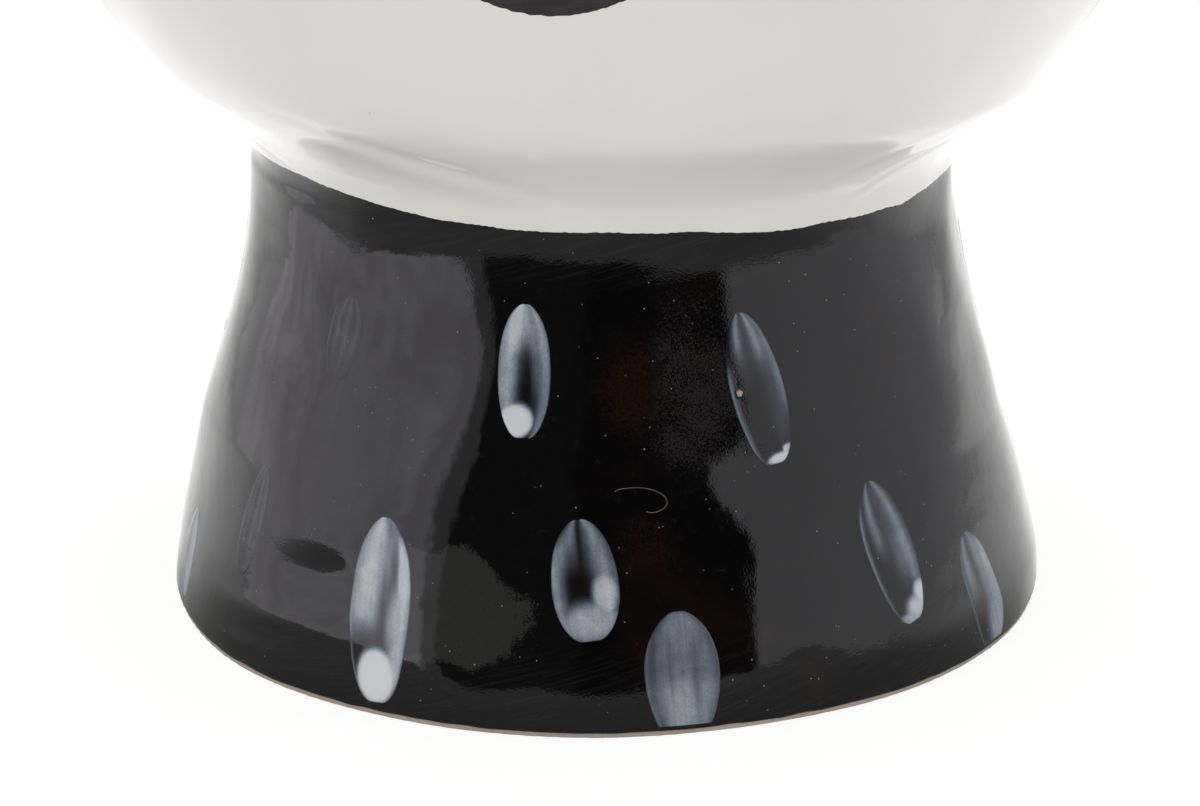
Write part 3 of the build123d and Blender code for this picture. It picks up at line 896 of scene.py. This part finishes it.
def daubPiece(name, marks, node):
    points, faces, uvs, amounts = [], [], [], []
    first = 0
    rng = np.random.default_rng(17)
    for turn, level, length, width, lean, kind in marks:
        rows, columns = int(length / daubSpacing) + 2, int(width / daubSpacing * 0.8) + 3
        sweep = np.linspace(-1, 1, rows)[:, None] * math.pi / 2 * 0.998
        along = np.sin(sweep) * np.ones((1, columns))
        across = np.linspace(-1, 1, columns)[None, :] * np.ones((rows, 1))
        wobble = rng.uniform(-0.05, 0.05, 3)
        narrow = 1 + wobble[0] * np.sin(3 * along) + wobble[1] * np.sin(5 * along + 1)
        half = width / 2 * np.cos(sweep) ** (0.9 + 0.16 * along) * narrow
        x, y = across * half, along * length / 2
        a = lean * degree
        flatX, flatY = x * math.cos(a) - y * math.sin(a), x * math.sin(a) + y * math.cos(a)
        amount = daubAmount(daubKinds[kind], across, along, 2 * x / width)
        rim = np.minimum((1 - np.abs(across)) * half, (1 - np.abs(along)) * length / 2)
        amount = amount * np.clip(rim / 0.4, 0, 1) ** 0.8
        lift = -0.03 + 0.055 * np.clip(rim / 0.5, 0, 1) + 0.14 * amount * np.clip(rim / 0.9, 0, 1)
        levels = np.maximum((level + flatY) * mm, daubFloor)
        points.append(onWall(turn * degree, flatX * mm, levels, lift * mm).reshape(-1, 3))
        faces += patchFaces(rows, columns, first)
        shift = rng.uniform(0, 90, 2)
        uvs.append(np.column_stack([x.ravel() + shift[0], y.ravel() + shift[1]]))
        amounts.append(amount.ravel())
        first += rows * columns
    made = newObject(name, np.concatenate(points), faces, [slip])
    setUv(made, np.concatenate(uvs))
    setAmount(made, "slip", np.concatenate(amounts))
    return place(made, "white_slip", node)


daubPiece("foot_daub_glaze", footDaubs + backDaubs(), "foot_daubs")
daubPiece("collar_daub_glaze", collarDaubs(), "collar_daubs")
print("daubs made")


# Small flaws of the firing: specks and a hair on the glaze, and a pinhole through one daub

def growthTree(name, sizes):
    # A Geometry Nodes tree with named sizes as its inputs, and the sockets that give them.
    group = bpy.data.node_groups.new(name, "GeometryNodeTree")
    group.interface.new_socket("Geometry", in_out="INPUT", socket_type="NodeSocketGeometry")
    for label, value in sizes.items():
        socket = group.interface.new_socket(label, in_out="INPUT", socket_type="NodeSocketFloat")
        socket.default_value = value
    group.interface.new_socket("Geometry", in_out="OUTPUT", socket_type="NodeSocketGeometry")
    tree = Tree(group, "GeometryNode")
    return tree, tree.node("NodeGroupInput").outputs


def grown(name, base, tree, geometry, sizes):
    # Ends a tree in clay, runs it on a base and keeps what it makes as a plain mesh.
    real = tree.add("RealizeInstances", {"Geometry": geometry})
    painted = tree.add("SetMaterial", {"Geometry": real, "Material": clay})
    tree.node("NodeGroupOutput", {"Geometry": painted})
    modifier = base.modifiers.new("Growth", "NODES")
    modifier.node_group = tree.owner
    for socket in tree.owner.interface.items_tree:
        if socket.name in sizes:
            modifier[socket.identifier] = sizes[socket.name]
    evaluated = base.evaluated_get(bpy.context.evaluated_depsgraph_get())
    mesh = bpy.data.meshes.new_from_object(evaluated)
    base.modifiers.remove(modifier)
    bpy.data.objects.remove(base)
    return place(linked(name, mesh), "bare_clay")


specks = {"Density": 12000.0, "Radius": 0.08 * mm, "Smallest": 0.45, "Largest": 1.6}


def glazeSpecks():
    turns, levels = np.meshgrid(np.linspace(0, math.tau, 181), np.linspace(3, 82, 60) * mm)
    ground = wallPoint(turns, levels).reshape(-1, 3)
    base = newObject("speck_ground", ground, patchFaces(*turns.shape), [clay])
    tree, source = growthTree("Specks", specks)
    spread = {"Mesh": source["Geometry"], "Density": source["Density"], "Seed": 4}
    points = tree.node("GeometryNodeDistributePointsOnFaces", spread).outputs
    ball = tree.add("MeshIcoSphere", {"Radius": source["Radius"], "Subdivisions": 2})
    flat = tree.add("Transform", {"Geometry": ball, "Scale": (1, 1, 0.45)})
    limits = {2: source["Smallest"], 3: source["Largest"], "Seed": 9}
    scale = tree.node("FunctionNodeRandomValue", limits, data_type="FLOAT").outputs[1]
    inputs = {"Points": points["Points"], "Instance": flat, "Rotation": points["Rotation"], "Scale": scale}
    grown("glaze_specks", base, tree, tree.add("InstanceOnPoints", inputs), specks)


# The hair's way over the glaze: direction in degrees, level
hairWay = [
    (6.3, 41.6), (8.2, 42.2), (10.4, 42.1), (12.3, 41.2), (13.1, 39.9), (12.6, 38.7), (11.2, 38.1),
    (10.4, 38.3),
]
hair = {"Radius": 0.026 * mm}


def glazeHair():
    knots = np.array(hairWay)
    steps = np.linspace(0, len(knots) - 1, 60)
    turn, level = (clampedSpline(range(len(knots)), knots[:, k], (1.5, 0))(steps) for k in (0, 1))
    points = wallPoint(turn * degree, level * mm, 0.02 * mm)
    mesh = bpy.data.meshes.new("hair_way")
    mesh.from_pydata([tuple(p) for p in points], [(i, i + 1) for i in range(len(points) - 1)], [])
    base = linked("hair_way", mesh)
    tree, source = growthTree("Hair", hair)
    line = tree.add("MeshToCurve", {"Mesh": source["Geometry"]})
    section = tree.add("CurvePrimitiveCircle", {"Resolution": 8, "Radius": source["Radius"]})
    swept = {"Curve": line, "Profile Curve": section, "Fill Caps": True}
    grown("glaze_hair", base, tree, tree.add("CurveToMesh", swept), hair)


# Pinhole: radius and lift of its rings, from the clay at its bottom out over the glaze that drew back from it
pinhole = {
    "turn": 24.0 * degree, "level": 56.8 * mm, "corners": 28, "clay rings": 2,
    "rings": [(0.15, 0.1), (0.36, 0.12), (0.55, 0.2), (0.62, 0.3), (0.76, 0.31), (0.9, 0.2), (0.96, 0.0)],
}


def glazePinhole():
    turn, level, count = pinhole["turn"], pinhole["level"], pinhole["corners"]
    ring = around(count)
    rings = []
    for radius, lift in pinhole["rings"]:
        uneven = radius * (1 + 0.08 * np.sin(3 * ring + 1) + 0.05 * np.sin(5 * ring)) * mm
        rings.append(onWall(turn, uneven * np.cos(ring), level + uneven * np.sin(ring), lift * mm))
    middle = onWall(turn, 0.0, level, pinhole["rings"][0][1] * mm)
    vertices = np.vstack([np.concatenate(rings), middle[None]])
    faces, kinds = [], []
    numbers = np.arange(len(rings) * count).reshape(-1, count).tolist()
    for i in range(len(rings) - 1):
        band = bandFaces(numbers[i], numbers[i + 1])
        faces += [face[::-1] for face in band]
        kinds += [int(i >= pinhole["clay rings"])] * len(band)
    fan = [[i, (i + 1) % count, len(vertices) - 1] for i in range(count)]
    made = newObject("glaze_pinhole", vertices, faces + fan, [clay, black], kinds + [0] * count)
    place(made, "bare_clay")


glazeSpecks()
glazeHair()
glazePinhole()
print("flaws made")


# Painted face: flat marks with an unevenly brushed edge

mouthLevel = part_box("lower_lip")[1].z
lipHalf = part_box("lower_lip")[1].x
lip = {"dip": 1.6 * mm, "parting": 0.9 * mm, "lower": 10.8 * mm, "upper": 8.6 * mm, "end slope": 8 * mm}

# Half of the upper lip's edge: share of the half width, share of the height
bowShares = [(0.0, 0.79), (0.09, 0.84), (0.22, 0.98), (0.38, 0.9), (0.6, 0.58), (0.8, 0.25), (1.0, 0.0)]

eyeLevel = 186 * mm
eyeTurn = math.asin(39 * mm / headRadius)
browLevel = 205 * mm
eyeSizes = {
    "half": 18.5 * mm, "rise": 10.5 * mm, "drop": 6.0 * mm, "upper lash": 3.2 * mm, "lower lash": 1.3 * mm,
    "iris": 7.6 * mm, "iris up": 1.6 * mm, "iris gap": 0.4 * mm, "glint": 1.7 * mm, "glint off": 2.5 * mm,
    "brow": 21 * mm, "brow under": 2.3 * mm, "brow over": 6.5 * mm, "brow slope": 2.2 * mm,
}


def arcThrough(half, rise, drop=0.0):
    # Height of an arc over its chord, whose right-hand end may lie lower.
    def at(x):
        share = x / half
        return rise * (1 - share ** 2) - drop * (share + 1) / 2
    return at


def paintedMark(name, turn, level, half, lower, upper, side=1, shape=(96, 18), depth=0.12, glint=False):
    # The mark X_paint stands for the frame's X. A glint is a mark of its own, in white.
    columns, rows = shape
    sweep = np.sin(np.linspace(-1, 1, columns) * math.pi / 2 * 0.995)[None, :] * np.ones((rows, 1))
    up = np.linspace(0, 1, rows)[:, None] * np.ones((1, columns))
    x = sweep * half
    brush = makeRipple(sum(map(ord, name)), 10, (30, 120), (1, 2), 0.07 * mm)
    low, high = lower(x) + brush(x / half, 0), upper(x) + brush(x / half, 1)
    high = np.maximum(high, low)
    y = low + (high - low) * up
    rim = np.minimum(np.minimum(up, 1 - up) * (high - low), (1 - np.abs(sweep)) * half)
    lift = (-0.05 + (depth + 0.05) * np.clip(rim / (0.3 * mm), 0, 1)) * mm
    points = onWall(side * turn, side * x, level + y, lift).reshape(-1, 3)
    made = newObject(name, points, patchFaces(rows, columns, 0, side < 0), [white if glint else paint])
    if glint:
        return place(made, "white_glaze")
    return place(made, "black_paint", name.replace("_paint", ""))


def lips():
    dip, parting, height = lip["dip"], lip["parting"], lip["upper"]
    lower = arcThrough(lipHalf, -lip["lower"]), arcThrough(lipHalf, -dip - parting / 2)
    paintedMark("lower_lip_paint", 0, mouthLevel, lipHalf, *lower, shape=(220, 40))
    places = [(-a, b) for a, b in bowShares[:0:-1]] + bowShares
    slopes = lip["end slope"], -lip["end slope"]
    bow = clampedSpline([a for a, _ in places], [b * height for _, b in places], slopes)
    upper = arcThrough(lipHalf, -dip + parting / 2), lambda x: bow(x / lipHalf)
    paintedMark("upper_lip_paint", 0, mouthLevel, lipHalf, *upper, shape=(220, 40))


def eye(side, name):
    s = eyeSizes
    half, rise, drop, up = s["half"], s["rise"], s["drop"], s["iris up"]
    upperLash, lowerLash, off = s["upper lash"], s["lower lash"], s["glint off"]
    iris, glint, brow = s["iris"], s["glint"], s["brow"]
    short = half * 0.9

    def mark(kind, level, half, lower, upper, turn=eyeTurn, **more):
        paintedMark(f"{kind}_{name}", turn, level, half, lower, upper, side, **more)

    def disc(radius, x):
        return np.sqrt(np.maximum(radius ** 2 - x ** 2, 0))

    def irisTop(x):
        return np.minimum(up + disc(iris, x), arcThrough(half, rise - upperLash - s["iris gap"])(x))

    def irisBottom(x):
        return np.maximum(up - disc(iris, x), arcThrough(half, -drop + lowerLash + s["iris gap"])(x))

    mark("upper_lash_paint", eyeLevel, half, arcThrough(half, rise - upperLash), arcThrough(half, rise))
    under = arcThrough(short, -drop), arcThrough(short, -drop + lowerLash)
    mark("lower_lash_paint", eyeLevel - lowerLash, short, *under)
    mark("iris_paint", eyeLevel, iris, irisBottom, irisTop, shape=(60, 40))
    spot = (lambda x: -disc(glint, x)), (lambda x: disc(glint, x))
    turn = eyeTurn + math.asin(off / headRadius)
    mark("eye_glint", eyeLevel + up + off, glint, *spot, turn, shape=(24, 16), depth=0.26, glint=True)
    edges = (arcThrough(brow, s[height], s["brow slope"]) for height in ("brow under", "brow over"))
    mark("brow_paint", browLevel, brow, *edges)


lips()
eye(1, "left")
eye(-1, "right")


# Nose, applied and smoothed into the face. Its ridge and its half width go by its length from the base up. A
# wing or a nostril is (distance from the middle, level, half width, half height, height).

nose = {
    "ridge": [
        (-0.24, -0.1, 0.0, 0.12, 0.24, 0.5, 0.75, 1.0, 1.2, 1.4),
        (0, 1.4, 8.5, 18.0, 18.3, 13.2, 8.2, 3.4, 1.0, 0),
    ],
    "width": [(-0.24, 0.0, 0.14, 0.32, 0.6, 1.0, 1.4), (9, 9.5, 9.4, 7.4, 6.0, 6.4, 9)],
    "wing": (9.6, 156.4, 4.2, 5.2, 8.2),
    "nostril": (5.4, 151.6, 2.4, 1.7, 3.0),
    "merge": 2.6,
}


def noseSkin():
    low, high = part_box("nose")
    x = np.linspace(-25, 25, 121)[None, :] * mm
    z = np.linspace(141, 212, 170)[:, None] * mm
    x, z = np.broadcast_arrays(x, z)
    t = (z - low.z) / (high.z - low.z)
    ridge, width = (clampedSpline(*nose[key], (0, 0))(t) for key in ("ridge", "width"))

    def bulge(beside, level, halfWidth, halfHeight, height):
        off = ((np.abs(x / mm) - beside) / halfWidth) ** 2
        return height * np.exp(-off - ((z / mm - level) / halfHeight) ** 2)

    height = np.maximum(ridge, 0) * np.exp(-(np.abs(x / mm) / width) ** 2.3)
    merge = nose["merge"]
    height = (height ** merge + bulge(*nose["wing"]) ** merge) ** (1 / merge)
    height = height - bulge(*nose["nostril"]) * (height > 0.5)
    points = onWall(0, x, z)
    points[..., 1] -= (height - 0.1) * mm
    points[..., 2] -= 0.09 * height * mm * np.clip(1.2 - t * 2, 0, 1)
    made = newObject("nose_glaze", points.reshape(-1, 3), patchFaces(*x.shape), [white])
    return place(made, "white_glaze", "nose")


# Ears: a rolled rim, a hollow and a lobe. A ring is (share of the outline in front, the same at the back,
# height as a share of the rim's height, height added in mm).

earOutline = [
    (14.5, 9), (9, 21), (-1, 26), (-11, 19), (-13.5, 6), (-11.5, -5), (-10.5, -15), (-5, -24), (2.5, -24),
    (8, -14), (12, -3),
]
earRings = [
    (0.04, 0.04, 0.2, 0), (0.2, 0.2, 0.17, 0), (0.36, 0.36, 0.22, 0), (0.46, 0.46, 0.5, 0),
    (0.55, 0.55, 0.66, 0), (0.62, 0.62, 0.6, 0), (0.7, 0.69, 0.44, 0), (0.76, 0.75, 0.58, 0),
    (0.82, 0.81, 0.86, 0), (0.89, 0.88, 1.0, 0), (0.95, 0.95, 0.98, 0), (0.99, 0.99, 0.84, 0),
    (1.0, 1.0, 0.62, 0), (1.0, 0.96, 0.36, 0), (1.0, 0.89, 0.1, 0), (1.02, 0.86, 0, -3),
]
ear = {
    "level": 178 * mm, "back": 9 * mm, "front rim": 4.0, "back rim": 15.5, "deepest": 40 * degree,
    "knob": 205, "knob height": 2.4, "knob end": 12, "lobe end": 8.6, "lobe height": 0.94,
}


def closedCurve(points, count):
    # A smooth closed curve through points, evenly many samples in each gap.
    knots = np.array(points, float)
    size = len(knots)
    places = np.arange(count) * size / count
    i, t = places.astype(int), (places % 1)[:, None]
    a, b, c, d = (knots[(i + k) % size] for k in (-1, 0, 1, 2))
    curve = 2 * b + (c - a) * t + (2 * a - 5 * b + 4 * c - d) * t ** 2 + (3 * b - a - 3 * c + d) * t ** 3
    return 0.5 * curve


def earSkin(side, name):
    edge = closedCurve(earOutline, 176)
    centre = np.array([-2.5, 0.0])
    angle = np.arctan2(*(edge - centre).T[::-1])
    back = (1 + np.cos(angle - ear["deepest"])) / 2
    rim = ear["front rim"] + (ear["back rim"] - ear["front rim"]) * back
    lobe = np.clip((-edge[:, 1] - 8) / 10, 0, 1)
    places = np.arange(len(earRings))
    steps = np.linspace(0, len(earRings) - 1, 52)
    front, rear, height, more = (clampedSpline(places, column, (0, 0))(steps) for column in zip(*earRings))
    offKnob = np.mod(angle / degree - ear["knob"] + 180, 360) - 180
    rings = []
    for row in range(len(steps)):
        share = front[row] + (rear[row] - front[row]) * back
        fill = lobe * np.clip((share - 0.25) / 0.3, 0, 1) * (steps[row] < ear["lobe end"])
        tall = height[row] * (1 - fill) + ear["lobe height"] * fill
        knob = ear["knob height"] * np.exp(-offKnob ** 2 / 500 - ((share - 0.6) / 0.15) ** 2)
        flat = (centre + share[:, None] * (edge - centre)) * mm
        y, z = ear["back"] + flat[:, 0], ear["level"] + flat[:, 1]
        radius = wallRadius(z)
        radius = radius + reliefAt(math.pi / 2 + np.arcsin(y / radius), z)
        knob = knob * (steps[row] < ear["knob end"])
        out = np.sqrt(radius ** 2 - y ** 2) + (rim * tall + more[row] + knob) * mm
        rings.append(np.column_stack([side * out, y, z])[::side])
    made = shell(f"ear_glaze_{name}", rings, [white], closed=False, poles=True)
    return place(made, "white_glaze", f"ear_{name}")


noseSkin()
earSkin(1, "left")
earSkin(-1, "right")
print("face made")


# Stage: pale floor, soft studio surroundings and the camera

# How far the table reaches from the vase in what the glaze mirrors: left, right and front
tableReach = {"left": -0.46, "right": 0.52, "front": -0.60}
floorReach = 3.0


def floorMaterial():
    # In the glaze it ends at the table's edges, and is brighter beside and behind the vase than before it.
    material, tree, point = newMaterial("Floor")
    shade = tree.add("BsdfDiffuse", {"Color": (0.84, 0.835, 0.82, 1)})
    # The floor glows a little of itself, a fill light that brightens the vase from below.
    fill = tree.add("Emission", {"Color": (1.0, 0.985, 0.96, 1), "Strength": 0.3})
    axes = tree.axes(point)
    # In what the glaze mirrors the floor glows beside and behind the vase, less further off.
    strength = tree.ramp(tree.direction(tree.math("ABSOLUTE", axes[0]), axes[1]), 55 * degree, 115 * degree)
    far = tree.add("VectorMath", {0: point}, "Value", operation="LENGTH")
    strength = tree.times(strength, tree.ramp(far, 0.25, 0.6, 1.0, 0.4))
    near = tree.add("BsdfDiffuse", {"Color": (0.52, 0.52, 0.52, 1)})
    table = tree.both(near, tree.add("Emission", {"Strength": strength}))
    there = tree.math("GREATER_THAN", axes[0], tableReach["left"])
    there = tree.times(there, tree.math("LESS_THAN", axes[0], tableReach["right"]))
    there = tree.times(there, tree.math("GREATER_THAN", axes[1], tableReach["front"]))
    mirrored = tree.either(there, tree.add("BsdfTransparent"), table)
    bright = tree.add("Emission", {"Color": (1, 1, 1, 1), "Strength": 0.82})
    seen = tree.both(bright, tree.add("BsdfDiffuse", {"Color": (0.3, 0.3, 0.3, 1)}))
    path = tree.node("ShaderNodeLightPath").outputs
    unseen = tree.either(path["Is Glossy Ray"], tree.both(shade, fill), mirrored)
    tree.node("ShaderNodeOutputMaterial", {"Surface": tree.either(path["Is Camera Ray"], unseen, seen)})
    return material


def makeFloor():
    corners = [(x * floorReach, y * floorReach, 0) for x, y in ((-1, -1), (1, -1), (1, 1), (-1, 1))]
    newObject("floor", corners, [[0, 1, 2, 3]], [floorMaterial()], smooth=False)


def makeWorld():
    # Soft boxes to the left and right, light above and behind, and the dark room on the camera's side.
    world = bpy.data.worlds.new("Studio")
    bpy.context.scene.world = world
    world.use_nodes = True
    tree = Tree(world.node_tree)
    ray = tree.add("TexCoord", out="Generated")
    axes = tree.axes(ray)
    turn = tree.math("SUBTRACT", tree.direction(axes[0], axes[1]), cameraTurn)
    rise = tree.math("ARCSINE", axes[2])

    def inside(left, right, low, high, soft):
        share = tree.ramp(turn, (left - soft) * degree, (left + soft) * degree)
        share = tree.times(share, tree.ramp(turn, (right + soft) * degree, (right - soft) * degree))
        share = tree.times(share, tree.ramp(rise, (low - soft) * degree, (low + soft) * degree))
        return tree.times(share, tree.ramp(rise, (high + soft) * degree, (high - soft) * degree))

    # What the glaze mirrors is set apart from the even light that falls on everything.
    soft = tree.ramp(tree.math("ABSOLUTE", axes[0]), 0.35, 1.0)
    soft = tree.blend(soft, (0.75, 0.74, 0.727, 1), (0.765, 0.757, 0.743, 1))
    room = tree.blend(tree.ramp(rise, 15 * degree, 60 * degree), (1.05, 1.05, 1.05, 1), (1.1, 1.09, 1.08, 1))
    cloth = tree.ramp(tree.noise(ray, 5, 4, 0.7, 1.2), 0.35, 0.7)
    cloth = tree.blend(cloth, (1.16, 1.11, 1.26, 1), (1.62, 1.57, 1.72, 1))

    # Left and right edge, lower and upper edge, softness, all in degrees, and colour
    panels = [
        (-60, 60, -95, 27, 0.7, (0.045, 0.044, 0.04, 1)),
        (-5, 60, -95, 27, 2, (0.008, 0.0075, 0.009, 1)),
        (-60, -38.5, -95, 40, 0.7, (0.42, 0.41, 0.42, 1)),
        (-122, -44, -95, 58, 1.2, cloth),
        (37, 126, -95, 58, 1.2, (0.84, 0.83, 0.87, 1)),
    ]
    for *where, color in panels:
        room = tree.blend(inside(*where), room, color)
    path = tree.node("ShaderNodeLightPath").outputs
    color = tree.blend(path["Is Glossy Ray"], soft, room)
    color = tree.blend(path["Is Camera Ray"], color, (1, 1, 1, 1))
    tree.node("ShaderNodeOutputWorld", {"Surface": tree.add("Background", {"Color": color, "Strength": 1.0})})


def makeCamera():
    data = bpy.data.cameras.new("Camera")
    data.sensor_fit = "HORIZONTAL"
    data.sensor_width = 36.0
    data.lens = 90.0
    camera = linked("Camera", data)
    out = cameraDistance * math.sin(cameraTurn), -cameraDistance * math.cos(cameraTurn)
    camera.location = (*out, cameraHeight)
    camera.rotation_euler = (math.pi / 2 - cameraPitch, 0, cameraTurn)
    bpy.context.scene.camera = camera


makeFloor()
makeWorld()
makeCamera()
bpy.context.scene.view_settings.view_transform = "Standard"
print("stage made")
